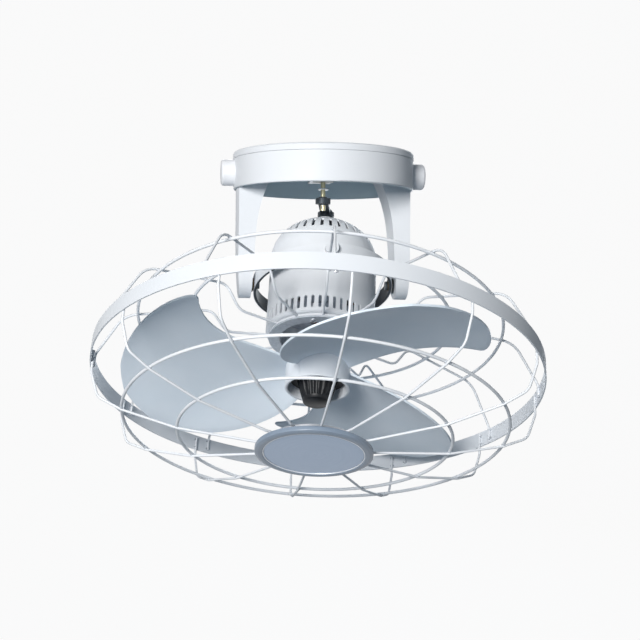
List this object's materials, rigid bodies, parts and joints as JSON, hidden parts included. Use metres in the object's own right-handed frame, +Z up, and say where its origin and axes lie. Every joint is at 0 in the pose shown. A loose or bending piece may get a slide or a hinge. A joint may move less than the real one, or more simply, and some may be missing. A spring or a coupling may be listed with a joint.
{
  "type": "orbital ceiling fan",
  "caption": "Ceiling fan whose caged motor head hangs leaning in a gimbal between the legs of a round canopy and is carried round by a crank.",
  "frame": {"origin": "centre of the face of the ceiling plate that lies on the ceiling", "axes": "+Z up into the ceiling; the two legs stand on the X axis; the viewer is on the -Y side, where the head's underside leans at rest"},
  "size_m": [0.4592, 0.4217, 0.3772],
  "materials": {
    "canopy_paint": "semi-gloss white enamel",
    "cap_plastic": "satin",
    "zinc_steel": "bright zinc",
    "pale_plastic": "matte",
    "dark_steel": "dark zinc and grey paint",
    "brass": "sintered bronze",
    "motor_paint": "semi-gloss white enamel",
    "core_steel": "laminated",
    "winding_copper": "varnished copper",
    "grey_metal": "cast",
    "bright_steel": "ground",
    "guard_wire": "powder coat over wire",
    "guard_band_paint": "white enamel",
    "badge_rim_plastic": "satin blue grey",
    "badge_silver": "brushed silver",
    "blade_plastic": "light blue grey",
    "black_plastic": "satin black",
    "yellow_zinc": "yellow zinc"
  },
  "bodies": {
    "canopy": {"ceiling_plate": "canopy_paint", "canopy_shell": "canopy_paint", "bridge_bracket": "zinc_steel", "rod_bush": "pale_plastic", "yoke_leg_left": "canopy_paint", "yoke_leg_right": "canopy_paint", "side_cap_left": "cap_plastic", "side_cap_right": "cap_plastic", "leg_screws": "zinc_steel", "pivot_bolt_left": "dark_steel", "pivot_bolt_right": "dark_steel", "pivot_spacers": "dark_steel", "terminal_block": "pale_plastic", "run_capacitor": "pale_plastic", "earth_screw": "zinc_steel"},
    "gimbal": {"gimbal_ring": "dark_steel", "gimbal_bushes": "brass"},
    "head": {"motor_top_cover": "motor_paint", "motor_lower_cover": "motor_paint", "motor_frame": "motor_paint", "stator_core": "core_steel", "winding_upper": "winding_copper", "winding_lower": "winding_copper", "upper_bearing_plate": "grey_metal", "lower_bearing_plate": "grey_metal", "upper_bearing": "bright_steel", "lower_bearing": "bright_steel", "orbit_gearmotor": "grey_metal", "inner_pin_near": "dark_steel", "inner_pin_far": "dark_steel", "cover_screws": "zinc_steel", "guard_clamp": "grey_metal", "guard_screws": "zinc_steel", "upper_guard": "guard_wire", "guard_band": "guard_band_paint", "band_clamp": "zinc_steel", "band_screw": "zinc_steel", "lower_guard": "guard_wire", "badge_rim": "badge_rim_plastic", "badge_plate": "badge_silver", "badge_clamp": "zinc_steel", "badge_screws": "zinc_steel"},
    "rotor": {"motor_shaft": "bright_steel", "rotor_core": "core_steel", "drive_pin": "bright_steel", "fan_rotor": "blade_plastic", "spinner_nut": "black_plastic"},
    "crank": {"crank_shaft": "bright_steel", "crank_arm": "dark_steel"},
    "rod": {"orbit_rod": "yellow_zinc", "rod_washer": "zinc_steel", "rod_clips": "zinc_steel"}
  },
  "joints": [
    {"name": "gimbal_swing", "type": "hinge", "parent": "canopy", "child": "gimbal", "pos_m": [0, 0, -0.139], "axis": [-1, 0, 0], "range_deg": [-56.4, 0.6]},
    {"name": "head_roll", "type": "hinge", "parent": "gimbal", "child": "head", "pos_m": [0, 0, -0.139], "axis": [0, 0.8835, -0.4684], "range_deg": [-34.4, 22.6]},
    {"name": "rotor_spin", "type": "hinge", "parent": "head", "child": "rotor", "pos_m": [0, 0, -0.139], "axis": [0.1033, 0.4658, 0.8788], "continuous": true},
    {"name": "crank_orbit", "type": "hinge", "parent": "head", "child": "crank", "pos_m": [0, 0, -0.139], "axis": [0.1033, 0.4658, 0.8788], "continuous": true},
    {"name": "rod_turn", "type": "hinge", "parent": "crank", "child": "rod", "pos_m": [0, 0, -0.05], "axis": [0, 0, 1], "continuous": true}
  ]
}
